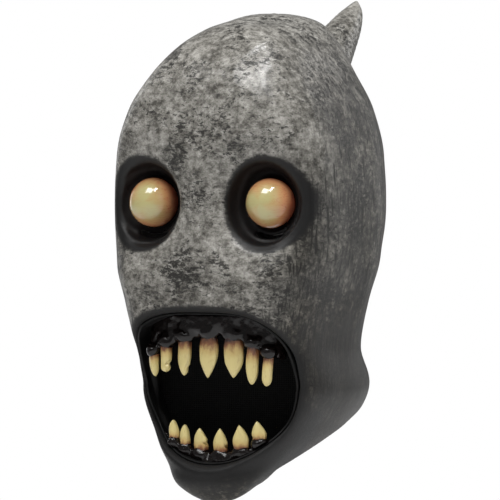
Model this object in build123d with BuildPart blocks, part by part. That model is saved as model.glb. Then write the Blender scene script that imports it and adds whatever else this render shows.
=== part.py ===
"""Latex monster mask: a full-head hollow skin with fitted eyes, gums, teeth, mouth screen and pads.

Millimetres. +Z up, the face looks along -Y, the mask's left side is +X.
The origin is the middle of the flat underside of the crown pad, where the wearer's crown rests.
"""

import math
import os

from build123d import *

os.makedirs("parts", exist_ok=True)

# ---------------------------------------------------------------- overall sizes
BREADTH = 186.0        # widest part of the skin, at eye height
DEPTH = 212.0          # face front to back of the skull, at eye height
CROWN_HEIGHT = 17.0    # outside of the crown above the pad seat
CHIN_DROP = 368.0      # underside of the chin below the pad seat
WALL = 3.0             # latex thickness

# ---------------------------------------------------------------- eyes
EYE_SPACING = 104.0    # between the two eyeball centres
EYE_DROP = 133.0       # eyeball centre below the pad seat
EYE_SETBACK = 27.0     # eyeball centre behind the face front
EYE_RADIUS = 20.0
EYE_WALL = 2.0
EYE_BACK_CUT = 14.0    # open back of the eye shell, behind its centre
SOCKET_RADIUS = 34.0
SOCKET_SETBACK = 3.0   # centre of the socket bowl behind the face front
PATCH_THICKNESS = 4.0
PATCH_LENGTH = 12.0
SLIT_WIDTH = 26.0      # the wearer looks out under each eyeball
SLIT_HEIGHT = 4.0
SLIT_DROP = 27.0       # middle of the slit below the eyeball centre

# ---------------------------------------------------------------- mouth
MOUTH_HALF_WIDTH = 71.5
MOUTH_RISE = 53.5      # upper lip above the widest line of the mouth
MOUTH_FALL = 67.0      # lower lip below it
MOUTH_DROP = 272.0     # widest line of the mouth below the pad seat
MOUTH_UPPER_POWER = 3.3  # squareness of the outline above the widest line
LIP_BACK = 54.0        # the moulded lip ends this far behind the face front
LINING_WALL = 2.0
LINING_FRONT = 12.0    # front edge of the lining behind the face front
SCREEN_SETBACK = 64.0  # front of the screen behind the face front
SCREEN_THICKNESS = 1.5
UPPER_GUM_SETBACK = 16.0  # front of the upper gum behind the face front
LOWER_GUM_SETBACK = 26.0  # front of the lower gum behind the face front
GUM_DEPTH = 27.0
UPPER_GUM_LINE = 239.0  # lower edge of the upper gum at the middle, below the pad seat
UPPER_GUM_SAG = 34.0   # how far that edge falls at the mouth corners
LOWER_GUM_LINE = 328.0  # upper edge of the lower gum at the middle, below the pad seat
LOWER_GUM_RISE = 34.0  # how far that edge climbs at the mouth corners
ROOT_DEPTH = 5.0       # length of each tooth held inside its gum
TOOTH_THICKNESS = 9.0
TOOTH_INSET = 7.5      # tooth centre line behind the gum front
TOOTH_TURN = 0.5       # degrees each tooth turns outwards per millimetre from the middle

# ---------------------------------------------------------------- neck opening
RIM_DROP = 316.0       # height of the cut neck edge beside the wearer's neck
RIM_SLOPE = 0.40       # the neck edge climbs towards the nape
THROAT_SETBACK = 44.0  # the chin cup ends this far behind the face front

# ---------------------------------------------------------------- horn
# Stations along the horn: behind the pad seat, above it, and the radius there.
HORN_STATIONS = [
    (56.0, -40.0, 27.0),
    (88.0, -24.0, 22.5),
    (112.0, -8.0, 17.5),
    (135.0, 11.0, 10.8),
    (145.0, 20.5, 6.6),
    (151.0, 28.5, 2.4),
]

# ---------------------------------------------------------------- pads
CROWN_PAD_RADIUS = 32.0
CROWN_PAD_STRETCH = 1.25
BROW_PAD_WIDTH = 90.0
BROW_PAD_HEIGHT = 26.0
BROW_PAD_DROP = 62.0
NAPE_PAD_WIDTH = 80.0
NAPE_PAD_HEIGHT = 40.0
NAPE_PAD_DROP = 165.0
PAD_THICKNESS = 9.0

HALF_BREADTH = BREADTH / 2
FACE_FRONT = -0.585 * DEPTH
SKULL_BACK = DEPTH + FACE_FRONT
SOCKET_CENTRES = [(side * EYE_SPACING / 2, FACE_FRONT + SOCKET_SETBACK, -EYE_DROP) for side in (-1, 1)]
EYE_CENTRES = [(side * EYE_SPACING / 2, FACE_FRONT + EYE_SETBACK, -EYE_DROP) for side in (-1, 1)]

# Each level of the skin: height as a share of the crown height or of the chin drop, half breadth
# and front and back reach as shares of the sizes at eye height, where its widest line lies
# (a share of the depth), and how square its front corners are.
LEVELS = [
    (1.000, 0.10, 0.08, 0.22, 0.030, 2.0),
    (0.720, 0.28, 0.32, 0.66, 0.028, 2.0),
    (0.280, 0.40, 0.555, 0.80, 0.010, 2.6),
    (-0.025, 0.55, 0.74, 0.82, 0.000, 3.4),
    (-0.085, 0.71, 0.885, 0.86, 0.000, 4.3),
    (-0.160, 0.88, 0.95, 0.93, 0.000, 5.0),
    (-0.262, 0.98, 0.99, 0.99, 0.000, 5.5),
    (-0.370, 1.00, 1.00, 0.99, 0.000, 5.5),
    (-0.478, 0.97, 1.01, 0.89, 0.000, 5.5),
    (-0.579, 0.88, 1.00, 0.76, -0.020, 5.2),
    (-0.677, 0.82, 0.945, 0.77, -0.055, 4.6),
    (-0.758, 0.855, 0.87, 1.04, -0.095, 3.3),
    (-0.845, 0.70, 0.85, 0.96, -0.165, 3.1),
    (-0.921, 0.50, 0.86, 0.35, -0.340, 2.7),
    (-0.970, 0.33, 0.865, -0.72, -0.429, 2.3),
    (-1.000, 0.14, 0.815, -0.90, -0.429, 2.0),
]
SECTION_POINTS = 20
BACK_POWER = 2.1


def section_points(level, inset):
    """Points of one closed skin section, drawn in by the inset."""
    _, breadth, front, back, middle, power = level
    half = breadth * HALF_BREADTH - inset
    centre = middle * DEPTH
    forward = front * -FACE_FRONT + centre - inset
    rearward = back * SKULL_BACK - centre - inset
    points = []
    for step in range(SECTION_POINTS):
        angle = 2 * math.pi * step / SECTION_POINTS
        across = math.cos(angle)
        along = math.sin(angle)
        depth = rearward if along > 0 else forward
        exponent = BACK_POWER if along > 0 else power
        reach = (abs(across) / half) ** exponent + (abs(along) / depth) ** exponent
        radius = reach ** (-1 / exponent)
        points.append((radius * across, centre + radius * along))
    return points


def level_height(level, inset):
    """Height of a section, brought inwards near the crown and the chin."""
    share = level[0]
    height = share * (CROWN_HEIGHT if share > 0 else CHIN_DROP)
    closing = 1 - min(1.0, level[1] / 0.75)
    return height - inset * closing if share > -0.5 else height + inset * closing


def mouth_loop(inset):
    """The whole mouth outline as ordered points, drawn in by the inset."""
    points = []
    for step in range(16):
        angle = 2 * math.pi * step / 16
        across = math.cos(angle)
        up = math.sin(angle)
        height = MOUTH_RISE - inset if up > 0 else MOUTH_FALL - inset
        power = MOUTH_UPPER_POWER if up > 0 else 2.0
        reach = (abs(across) / (MOUTH_HALF_WIDTH - inset)) ** power + (abs(up) / height) ** power
        radius = reach ** (-1 / power)
        points.append((radius * across, radius * up - MOUTH_DROP))
    return points


def facing(setback):
    """Upright plane, looking forwards, at a distance behind the face front."""
    return Plane.XZ.offset(-(FACE_FRONT + setback))


def horn_plane(index):
    """Plane across the horn at one of its stations."""
    ahead = HORN_STATIONS[min(index + 1, len(HORN_STATIONS) - 1)]
    behind = HORN_STATIONS[max(index - 1, 0)]
    back, rise, _ = HORN_STATIONS[index]
    direction = (0, ahead[0] - behind[0], ahead[1] - behind[1])
    return Plane(origin=(0, back, rise), x_dir=(1, 0, 0), z_dir=direction)


# ---------------------------------------------------------------- scratch volumes
with BuildPart() as outer_volume:
    for level in LEVELS:
        with BuildSketch(Plane.XY.offset(level_height(level, 0.0))):
            with BuildLine():
                Spline(*section_points(level, 0.0), periodic=True)
            make_face()
    loft()

with BuildPart() as inner_volume:
    for level in LEVELS:
        with BuildSketch(Plane.XY.offset(level_height(level, WALL))):
            with BuildLine():
                Spline(*section_points(level, WALL), periodic=True)
            make_face()
    loft()

with BuildPart() as pad_limit:
    for level in LEVELS[1:-3]:
        with BuildSketch(Plane.XY.offset(level_height(level, WALL))):
            with BuildLine():
                Spline(*section_points(level, WALL + PAD_THICKNESS), periodic=True)
            make_face()
    loft()

with BuildPart() as horn_volume:
    for index, station in enumerate(HORN_STATIONS):
        with BuildSketch(horn_plane(index)):
            Circle(station[2])
    loft()

with BuildPart() as horn_hollow:
    for index, station in enumerate(HORN_STATIONS[:-1]):
        with BuildSketch(horn_plane(index)):
            Circle(station[2] - WALL)
    loft()

socket_tools = []
for growth in (0.0, WALL):
    with BuildPart() as socket_tool:
        for x, y, z in SOCKET_CENTRES:
            with BuildSketch(Plane.YZ.offset(x)):
                with BuildLine():
                    radius = SOCKET_RADIUS + growth
                    bowl = CenterArc((y, z), radius, 0, 90)
                    Polyline(bowl @ 1, (y - 2 * EYE_RADIUS, z + radius), (y - 2 * EYE_RADIUS, z), bowl @ 0)
                make_face()
            revolve(axis=Axis((x, y, z), (0, 1, 0)))
    socket_tools.append(socket_tool.part)

with BuildPart() as cavity:
    add(inner_volume.part)
    add(socket_tools[1], mode=Mode.SUBTRACT)
    with BuildSketch(facing(LIP_BACK)):
        with BuildLine():
            Spline(*mouth_loop(-WALL), periodic=True)
        make_face()
    extrude(amount=2 * LIP_BACK, mode=Mode.SUBTRACT)

with BuildPart() as mouth_hollow:
    with BuildSketch(facing(LIP_BACK)):
        with BuildLine():
            Spline(*mouth_loop(0.0), periodic=True)
        make_face()
    extrude(amount=2 * LIP_BACK)

with BuildPart() as neck_cut:
    with BuildSketch(Plane.YZ):
        with BuildLine():
            rim = Spline(
                (160.0, -RIM_DROP + RIM_SLOPE * 160.0),
                (86.0, -RIM_DROP + RIM_SLOPE * 86.0),
                (1.0, -RIM_DROP + RIM_SLOPE * 1.0),
                (-42.0, -RIM_DROP - RIM_SLOPE * 42.0),
                (FACE_FRONT + THROAT_SETBACK + 7.0, -346.0),
                (FACE_FRONT + THROAT_SETBACK + 1.5, -358.0),
                (FACE_FRONT + THROAT_SETBACK, -385.0),
            )
            Polyline(rim @ 1, (FACE_FRONT + THROAT_SETBACK, -420.0), (160.0, -420.0), rim @ 0)
        make_face()
    extrude(amount=150.0, both=True)

# ---------------------------------------------------------------- skin
with BuildPart() as head_skin:
    add(outer_volume.part)
    add(horn_volume.part)
    add(cavity.part, mode=Mode.SUBTRACT)
    add(horn_hollow.part, mode=Mode.SUBTRACT)
    add(mouth_hollow.part, mode=Mode.SUBTRACT)
    add(socket_tools[0], mode=Mode.SUBTRACT)
    with Locations(*EYE_CENTRES):
        Sphere(EYE_RADIUS, rotation=(90, 0, 0), mode=Mode.SUBTRACT)
    with Locations(*[(x, y - 3.0, z - SLIT_DROP) for x, y, z in EYE_CENTRES]):
        Box(SLIT_WIDTH, 18.0, SLIT_HEIGHT, mode=Mode.SUBTRACT)
    add(neck_cut.part, mode=Mode.SUBTRACT)
head_skin.part.label = "head_skin"
export_step(head_skin.part, "parts/head_skin.step")

with BuildPart() as horn_core:
    add(horn_hollow.part)
    add(inner_volume.part, mode=Mode.SUBTRACT)
horn_core.part.label = "horn_core"
export_step(horn_core.part, "parts/horn_core.step")

# ---------------------------------------------------------------- eyes
for name, eye_centre, socket_centre in zip(("right", "left"), EYE_CENTRES, SOCKET_CENTRES):
    with BuildPart() as eye:
        with Locations(eye_centre):
            Sphere(EYE_RADIUS)
            Sphere(EYE_RADIUS - EYE_WALL, mode=Mode.SUBTRACT)
            with Locations((0, EYE_BACK_CUT + EYE_RADIUS, 0)):
                Box(3 * EYE_RADIUS, 2 * EYE_RADIUS, 3 * EYE_RADIUS, mode=Mode.SUBTRACT)
    eye.part.label = name + "_eye"
    export_step(eye.part, "parts/" + name + "_eye.step")

    with BuildPart() as patch:
        with Locations(eye_centre):
            Sphere(EYE_RADIUS + PATCH_THICKNESS)
            Sphere(EYE_RADIUS, mode=Mode.SUBTRACT)
            with Locations((0, EYE_BACK_CUT - 1.0 - PATCH_LENGTH / 2, 0)):
                Box(3 * EYE_RADIUS, PATCH_LENGTH, 3 * EYE_RADIUS, mode=Mode.INTERSECT)
        with Locations(socket_centre):
            Sphere(SOCKET_RADIUS + WALL, mode=Mode.SUBTRACT)
    patch.part.label = name + "_eye_patch"
    export_step(patch.part, "parts/" + name + "_eye_patch.step")

# ---------------------------------------------------------------- mouth lining and screen
with BuildPart() as mouth_lining:
    with BuildSketch(facing(SCREEN_SETBACK)):
        with BuildLine():
            Spline(*mouth_loop(0.0), periodic=True)
        make_face()
        with BuildLine():
            Spline(*mouth_loop(LINING_WALL), periodic=True)
        make_face(mode=Mode.SUBTRACT)
    extrude(amount=SCREEN_SETBACK - LINING_FRONT)
    add(inner_volume.part, mode=Mode.INTERSECT)
mouth_lining.part.label = "mouth_lining"
export_step(mouth_lining.part, "parts/mouth_lining.step")

with BuildPart() as mouth_screen:
    with BuildSketch(facing(SCREEN_SETBACK + SCREEN_THICKNESS)):
        with BuildLine():
            Spline(*mouth_loop(0.0), periodic=True)
        make_face()
    extrude(amount=SCREEN_THICKNESS)
    add(inner_volume.part, mode=Mode.INTERSECT)
mouth_screen.part.label = "mouth_screen"
export_step(mouth_screen.part, "parts/mouth_screen.step")

# ---------------------------------------------------------------- teeth
# Each tooth: how far to the mask's left of the middle and its width, both as shares of the mouth's half
# width; then its gum line and tip below the pad seat, and how far the tip leans to the left.
UPPER_TEETH = [
    (-0.706, 0.126, 254.0, 270.0, 1.0),
    (-0.552, 0.175, 247.0, 266.5, 0.5),
    (-0.315, 0.203, 242.0, 269.0, 0.0),
    (-0.014, 0.231, 240.0, 270.5, 0.0),
    (0.301, 0.231, 241.0, 270.0, -1.0),
    (0.538, 0.182, 247.0, 275.0, -1.5),
    (0.727, 0.154, 254.0, 276.0, -1.5),
]
LOWER_TEETH = [
    (-0.524, 0.133, 318.0, 304.5, 0.0),
    (-0.385, 0.133, 323.0, 308.0, 0.0),
    (-0.189, 0.182, 326.5, 310.5, 0.0),
    (0.056, 0.182, 327.5, 310.5, 0.0),
    (0.315, 0.196, 325.0, 307.5, 0.5),
    (0.531, 0.175, 317.5, 304.0, 1.0),
]


def tooth_shape(across_share, width_share, gum_line, tip, lean, setback):
    """One tapered tooth, its root end held inside the gum."""
    across = across_share * MOUTH_HALF_WIDTH
    width = width_share * MOUTH_HALF_WIDTH
    growth = 1 if gum_line < tip else -1
    root = -gum_line + growth * ROOT_DEPTH
    middle = -0.55 * gum_line - 0.45 * tip
    depth = FACE_FRONT + setback + TOOTH_INSET
    turn = TOOTH_TURN * across
    stations = [
        (root, 0.0, 0.84 * width, TOOTH_THICKNESS),
        (middle, 0.4 * lean, width, 0.92 * TOOTH_THICKNESS),
        (-tip, lean, 0.58 * width, 0.42 * TOOTH_THICKNESS),
    ]
    with BuildPart() as tooth:
        for height, shift, breadth, thickness in stations:
            with BuildSketch(Plane((across + shift, depth, height)).rotated((0, 0, turn))):
                Ellipse(breadth / 2, thickness / 2)
        loft()
    return tooth.part


upper_teeth = []
for number, row in enumerate(UPPER_TEETH, start=1):
    with BuildPart() as tooth:
        add(tooth_shape(*row, UPPER_GUM_SETBACK))
    tooth.part.label = "upper_tooth_" + str(number)
    export_step(tooth.part, "parts/upper_tooth_" + str(number) + ".step")
    upper_teeth.append(tooth.part)

lower_teeth = []
for number, row in enumerate(LOWER_TEETH, start=1):
    with BuildPart() as tooth:
        add(tooth_shape(*row, LOWER_GUM_SETBACK))
    tooth.part.label = "lower_tooth_" + str(number)
    export_step(tooth.part, "parts/lower_tooth_" + str(number) + ".step")
    lower_teeth.append(tooth.part)

# ---------------------------------------------------------------- gums
with BuildPart() as upper_gum:
    with BuildSketch(facing(UPPER_GUM_SETBACK + GUM_DEPTH)):
        with BuildLine():
            Spline(*mouth_loop(LINING_WALL), periodic=True)
        make_face()
        with BuildLine():
            edge = ThreePointArc(
                (-MOUTH_HALF_WIDTH, -UPPER_GUM_LINE - UPPER_GUM_SAG),
                (0, -UPPER_GUM_LINE),
                (MOUTH_HALF_WIDTH, -UPPER_GUM_LINE - UPPER_GUM_SAG),
            )
            Polyline(edge @ 1, (MOUTH_HALF_WIDTH, -400.0), (-MOUTH_HALF_WIDTH, -400.0), edge @ 0)
        make_face(mode=Mode.SUBTRACT)
    extrude(amount=GUM_DEPTH)
    add(inner_volume.part, mode=Mode.INTERSECT)
    for tooth in upper_teeth:
        add(tooth, mode=Mode.SUBTRACT)
upper_gum.part.label = "upper_gum"
export_step(upper_gum.part, "parts/upper_gum.step")

with BuildPart() as lower_gum:
    with BuildSketch(facing(LOWER_GUM_SETBACK + GUM_DEPTH)):
        with BuildLine():
            Spline(*mouth_loop(LINING_WALL), periodic=True)
        make_face()
        with BuildLine():
            edge = ThreePointArc(
                (-MOUTH_HALF_WIDTH, -LOWER_GUM_LINE + LOWER_GUM_RISE),
                (0, -LOWER_GUM_LINE),
                (MOUTH_HALF_WIDTH, -LOWER_GUM_LINE + LOWER_GUM_RISE),
            )
            Polyline(edge @ 1, (MOUTH_HALF_WIDTH, -200.0), (-MOUTH_HALF_WIDTH, -200.0), edge @ 0)
        make_face(mode=Mode.SUBTRACT)
    extrude(amount=GUM_DEPTH)
    add(inner_volume.part, mode=Mode.INTERSECT)
    for tooth in lower_teeth:
        add(tooth, mode=Mode.SUBTRACT)
lower_gum.part.label = "lower_gum"
export_step(lower_gum.part, "parts/lower_gum.step")

# ---------------------------------------------------------------- pads
with BuildPart() as crown_pad:
    with BuildSketch(Plane.XY):
        Ellipse(CROWN_PAD_RADIUS, CROWN_PAD_RADIUS * CROWN_PAD_STRETCH)
    extrude(amount=2 * CROWN_HEIGHT)
    add(inner_volume.part, mode=Mode.INTERSECT)
crown_pad.part.label = "crown_pad"
export_step(crown_pad.part, "parts/crown_pad.step")

with BuildPart() as brow_pad:
    with BuildSketch(Plane.XZ):
        with Locations((0, -BROW_PAD_DROP)):
            RectangleRounded(BROW_PAD_WIDTH, BROW_PAD_HEIGHT, 10.0)
    extrude(amount=1.5 * DEPTH)
    add(inner_volume.part, mode=Mode.INTERSECT)
    add(pad_limit.part, mode=Mode.SUBTRACT)
brow_pad.part.label = "brow_pad"
export_step(brow_pad.part, "parts/brow_pad.step")

with BuildPart() as nape_pad:
    with BuildSketch(Plane.XZ):
        with Locations((0, -NAPE_PAD_DROP)):
            RectangleRounded(NAPE_PAD_WIDTH, NAPE_PAD_HEIGHT, 12.0)
    extrude(amount=-1.5 * DEPTH)
    add(inner_volume.part, mode=Mode.INTERSECT)
    add(pad_limit.part, mode=Mode.SUBTRACT)
nape_pad.part.label = "nape_pad"
export_step(nape_pad.part, "parts/nape_pad.step")
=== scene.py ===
"""Looks of the latex monster mask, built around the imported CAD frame."""

import math

import bmesh
import bpy
import numpy as np
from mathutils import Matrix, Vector


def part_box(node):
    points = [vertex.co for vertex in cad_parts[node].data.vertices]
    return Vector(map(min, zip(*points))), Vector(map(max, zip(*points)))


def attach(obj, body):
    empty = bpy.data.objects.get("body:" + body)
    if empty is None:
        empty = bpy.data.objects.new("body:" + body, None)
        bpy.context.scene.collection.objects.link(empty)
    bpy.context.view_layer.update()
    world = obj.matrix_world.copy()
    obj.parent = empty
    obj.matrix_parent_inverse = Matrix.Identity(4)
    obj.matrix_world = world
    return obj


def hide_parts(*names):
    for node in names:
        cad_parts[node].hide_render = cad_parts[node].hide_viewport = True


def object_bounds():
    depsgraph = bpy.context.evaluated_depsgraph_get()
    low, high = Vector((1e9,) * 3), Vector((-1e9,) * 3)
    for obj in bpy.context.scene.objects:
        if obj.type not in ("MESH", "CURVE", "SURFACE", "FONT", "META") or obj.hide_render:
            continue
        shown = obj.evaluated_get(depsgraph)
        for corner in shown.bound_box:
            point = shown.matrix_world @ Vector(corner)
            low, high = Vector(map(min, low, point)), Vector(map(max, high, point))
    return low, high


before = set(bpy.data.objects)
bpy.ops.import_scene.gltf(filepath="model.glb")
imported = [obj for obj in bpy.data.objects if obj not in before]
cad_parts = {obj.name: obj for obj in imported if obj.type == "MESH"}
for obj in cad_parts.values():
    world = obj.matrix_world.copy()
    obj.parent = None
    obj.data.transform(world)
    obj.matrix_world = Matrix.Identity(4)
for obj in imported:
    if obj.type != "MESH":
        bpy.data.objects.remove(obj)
cad_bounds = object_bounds()

MM = 0.001
GRID = 1.35          # spacing of the skin grid in mm
GUM_GRID = 0.9       # spacing of the gum grids in mm
SKIN_LOW = (-99, -132, -376)           # corners of the skin grid in mm
SKIN_HIGH = (99, 159, 36)
WALL = 3.0                             # latex thickness in mm
DENTS = ((0.55, 26, 3),                # unevenness of the casting: height and width in mm, seed
         (0.22, 11, 4))

# Skin levels in mm: height, half breadth, place of the widest line, front, back, then the squareness of
# the front corners (2 is an ellipse).
LEVELS = np.array([
    (17.6, 0.0, 6.0, 6.0, 6.0, 2.0),
    (12.2, 26.0, 5.9, -39.7, 58.1, 2.0),
    (4.8, 37.2, 2.1, -68.8, 70.4, 2.6),
    (-9.2, 51.2, 0.0, -91.8, 72.1, 3.4),
    (-31.3, 66.0, 0.0, -109.8, 75.7, 4.3),
    (-58.9, 81.8, 0.0, -117.8, 81.8, 5.0),
    (-96.4, 91.1, 0.0, -122.8, 87.1, 5.5),
    (-136.2, 93.0, 0.0, -124.0, 87.1, 5.5),
    (-175.9, 90.2, 0.0, -125.3, 78.3, 5.5),
    (-213.1, 81.8, -4.2, -124.0, 66.9, 5.2),
    (-249.1, 76.3, -11.7, -117.2, 67.7, 4.6),
    (-278.9, 79.5, -20.1, -107.9, 91.5, 3.3),
    (-311.0, 65.1, -35.0, -105.4, 84.5, 3.1),
    (-338.9, 46.5, -72.1, -106.7, 30.8, 2.7),
    (-357.0, 30.7, -91.0, -107.3, -63.3, 2.3),
    (-369.0, 0.0, -91.0, -91.0, -91.0, 2.0),
])
BACK_POWER = 2.1                       # squareness of the back of the head
LEAST_SQUARE = 0.3                     # keeps square roots away from zero at the closed ends, mm2
LEAST_SLOPE = 0.35                     # keeps the field from growing where it is flat

# Horn in mm: distance back, height and radius, from inside the head to the tip.
HORN = np.array([
    (56.0, -40.0, 27.0), (88.0, -24.0, 22.5), (112.0, -8.0, 17.5),
    (136.0, 10.5, 12.0), (147.0, 20.5, 7.4), (152.0, 28.5, 2.2),
])

HORN_PIECES = 21                       # straight tapered pieces that follow the curve
HORN_BLEND = 9.0                       # radius of the fillet at the root of the horn, mm

# Mouth outline in mm, seen from the front: a squarish upper half and an oval lower half.
MOUTH_HALF = 68.5
MOUTH_RISE = 53.5
MOUTH_FALL = 67.0
MOUTH_Z = -272.0
UPPER_POWER = 3.3
LOWER_POWER = 2.0
MOUTH_DEPTH_Y = -64.0                  # the lips turn in as far as this
TRIM_Y = -60.0                         # middle and half depth of the cut that opens the mouth
TRIM_HALF = 12.0
LIP_ROLL = 0.4                         # height of the rolled lip, and what the lower lip has on top of it
LIP_ROLL_LOWER = 1.8
LIP_BLEND = 6.0                        # radius of the edge where the skin turns into the mouth
TRIM_BLEND = 1.0                       # radius of the cut edge inside the mouth
NECK_BLEND = 1.2                       # radius of the cut neck edge

# Eye socket bowls in mm.
SOCKET_R = 31.5
SOCKET_Y = -117.5
SOCKET_OUT = 0.5                       # the bowl sits this much farther out than the eye
SOCKET_DROP = 0.5                      # and this much lower
SOCKET_STRETCH = 0.95                  # below 1 makes the bowl taller than wide
SOCKET_BLEND = 8.0                     # radius of the edge of the bowl
HOLLOW_DEPTH = 8.0                     # soft hollow round the bowl
SOOT_R = 36.0                          # soot round the bowl
FOLD_HEIGHT = 1.15                     # lid folds: height and distance from one to the next
FOLD_PITCH = 5.6
EYE_GAP = 0.2                          # gap between the eyeball and the skin
SLIT_R = 26.5                          # vision slit: radius of its arc round the eye, half width, half length
SLIT_HALF_WIDTH = 1.5
SLIT_HALF_LENGTH = 12.5

# Raised vein on the left temple, part of a circle in the front view, mm.
VEIN_X = 52.0
VEIN_Z = -28.0
VEIN_R = 26.0
VEIN_WIDTH = 3.6
VEIN_HEIGHT = 0.9


def box_mm(node):
    """Low and high corner of the box of a CAD node, in mm."""
    return [np.array(corner) * 1000.0 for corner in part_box(node)]


def eye_centre(node):
    """Centre of an eyeball shell, which is open at the back."""
    low, high = box_mm(node)
    return float(0.5 * (low[0] + high[0])), float(low[1] + EYE_R), float(0.5 * (low[2] + high[2]))


EYE_R = float(0.5 * (box_mm("left_eye")[1][2] - box_mm("left_eye")[0][2]))
EYE_NODES = ("right_eye", "left_eye")
EYES = [eye_centre(node) for node in EYE_NODES]


# ------------------------------------------------------------------ fields
def monotone(xs, ys, at):
    """Smooth curve through points that never overshoots them."""
    order = np.argsort(xs)
    xs = xs[order]
    ys = ys[order]
    gap = np.diff(xs)
    slope = np.diff(ys) / gap
    tangent = np.zeros_like(ys)
    same = slope[:-1] * slope[1:] > 0
    mean = np.zeros(len(slope) - 1)
    mean[same] = 2 * slope[:-1][same] * slope[1:][same] / (slope[:-1][same] + slope[1:][same])
    tangent[1:-1] = mean
    tangent[0] = slope[0]
    tangent[-1] = slope[-1]
    at = np.clip(at, xs[0], xs[-1])
    k = np.clip(np.searchsorted(xs, at) - 1, 0, len(gap) - 1)
    t = (at - xs[k]) / gap[k]
    h = gap[k]
    return ((2 * t**3 - 3 * t**2 + 1) * ys[k] + (t**3 - 2 * t**2 + t) * h * tangent[k]
            + (-2 * t**3 + 3 * t**2) * ys[k + 1] + (t**3 - t**2) * h * tangent[k + 1])


def smooth_max(a, b, k):
    h = np.clip(0.5 + 0.5 * (a - b) / k, 0, 1)
    return b + (a - b) * h + k * h * (1 - h)


def smooth_min(a, b, k):
    return -smooth_max(-a, -b, k)


def smoothstep(lo, hi, value):
    t = np.clip((value - lo) / (hi - lo), 0, 1)
    return t * t * (3 - 2 * t)


def oval(across, along, half_across, half_along, power):
    """Signed radial distance to a rounded oblong."""
    reach = (np.abs(across) / half_across) ** power + (np.abs(along) / half_along) ** power
    reach = np.maximum(reach ** (1 / power), 1e-4)
    return np.sqrt(across**2 + along**2) * (1 - 1 / reach)


def lattice_noise(shape, scale, seed):
    """Soft random bumps on a grid: random values every scale cells, blended smoothly."""
    rng = np.random.default_rng(seed)
    coarse = rng.standard_normal([int(n / scale) + 4 for n in shape]).astype(np.float32)
    for axis, n in enumerate(shape):
        pos = np.arange(n) / scale
        base = pos.astype(int)
        t = (pos - base).astype(np.float32)
        w = [(1 - t) ** 3 / 6, (3 * t**3 - 6 * t**2 + 4) / 6,
             (-3 * t**3 + 3 * t**2 + 3 * t + 1) / 6, t**3 / 6]
        view = [1, 1, 1]
        view[axis] = n
        coarse = sum(np.take(coarse, base + j, axis=axis) * w[j].reshape(view) for j in range(4))
    return coarse


def skull_field(x, y, z):
    """Signed distance, roughly, to the outside of the head without its features."""
    heights, half, middle, front, back, power = LEVELS.T

    def at_level(values):
        return monotone(heights, values, z.ravel()).reshape(z.shape)

    def reach_at_level(values):
        return np.sqrt(np.maximum(at_level(values**2), LEAST_SQUARE))

    along = (y - at_level(middle)).astype(np.float32)
    ahead = along < 0
    depth = np.where(ahead, reach_at_level(middle - front), reach_at_level(back - middle)).astype(np.float32)
    square = np.where(ahead, at_level(power), BACK_POWER).astype(np.float32)
    field = oval(x.astype(np.float32), along, reach_at_level(half).astype(np.float32), depth, square)
    field = np.maximum(field, z - heights[0])
    return np.maximum(field, heights[-1] - z).astype(np.float32)


def normalised(field, step):
    """Divides a field by its slope, so that its values are closer to distances."""
    gx, gy, gz = np.gradient(field, step)
    return field / np.maximum(np.sqrt(gx * gx + gy * gy + gz * gz), LEAST_SLOPE)


def horn_field(x, y, z):
    """Distance to the curved horn, made of short tapered pieces."""
    stations = np.arange(len(HORN), dtype=float)
    t = np.linspace(0, len(HORN) - 1, HORN_PIECES + 1)
    path = np.stack([monotone(stations, column, t) for column in HORN.T], axis=1)
    best = None
    for a, b in zip(path[:-1], path[1:]):
        step = b - a
        length = step[0] ** 2 + step[1] ** 2
        along = np.clip(((y - a[0]) * step[0] + (z - a[1]) * step[1]) / length, 0, 1)
        away = np.sqrt(x**2 + (y - a[0] - along * step[0]) ** 2 + (z - a[1] - along * step[1]) ** 2)
        away = away - (a[2] + along * step[2])
        best = away if best is None else np.minimum(best, away)
    return best


def mouth_field(x, z):
    """Signed distance to the mouth outline, seen from the front."""
    dz = z - MOUTH_Z
    up = oval(x, dz, MOUTH_HALF, MOUTH_RISE, UPPER_POWER)
    down = oval(x, dz, MOUTH_HALF, MOUTH_FALL, LOWER_POWER)
    return np.where(dz > 0, up, down)


def socket_field(x, y, z, eye):
    """Distance to the bowl around an eye, which opens to the front."""
    dx = x - eye[0] - math.copysign(SOCKET_OUT, eye[0])
    dz = (z - eye[2] + SOCKET_DROP) * SOCKET_STRETCH
    dy = np.maximum(y - SOCKET_Y, 0)
    return np.sqrt(dx**2 + dy**2 + dz**2) - SOCKET_R


def slit_field(dx, dy, dz):
    """The vision slit, which follows the fold under the ball. Distances are from the eye's centre."""
    arc = np.abs(np.sqrt(dx**2 + dz**2) - SLIT_R) - SLIT_HALF_WIDTH
    slit = np.maximum(arc, np.abs(dx) - SLIT_HALF_LENGTH)
    return np.maximum(np.maximum(slit, dz), np.abs(dy + 4.0) - 9.0)


def vein_height(x, y, z):
    """Height of the vein as a share, fading at its ends."""
    away = np.sqrt((x - VEIN_X) ** 2 + (z - VEIN_Z) ** 2) - VEIN_R
    above = smoothstep(-14.0, -2.0, z - 0.55 * (x - VEIN_X) + 24.0)
    return np.exp(-(away / VEIN_WIDTH) ** 2) * above * smoothstep(-20.0, -50.0, y)


def fold_height(ring, turn, eye):
    """Height of the wavy lid folds round an eye, strongest below it on the mask's left."""
    low = 0.25 + 0.75 * np.clip(np.cos(turn + 0.85), 0, 1) ** 1.5
    wave = np.sin((ring + 1.6 * np.sin(2 * turn + eye[0])) * 2 * np.pi / FOLD_PITCH)
    fade = smoothstep(20.0, 23.0, ring)
    return FOLD_HEIGHT * wave * low * fade * smoothstep(38.0, 31.0, ring)


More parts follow.
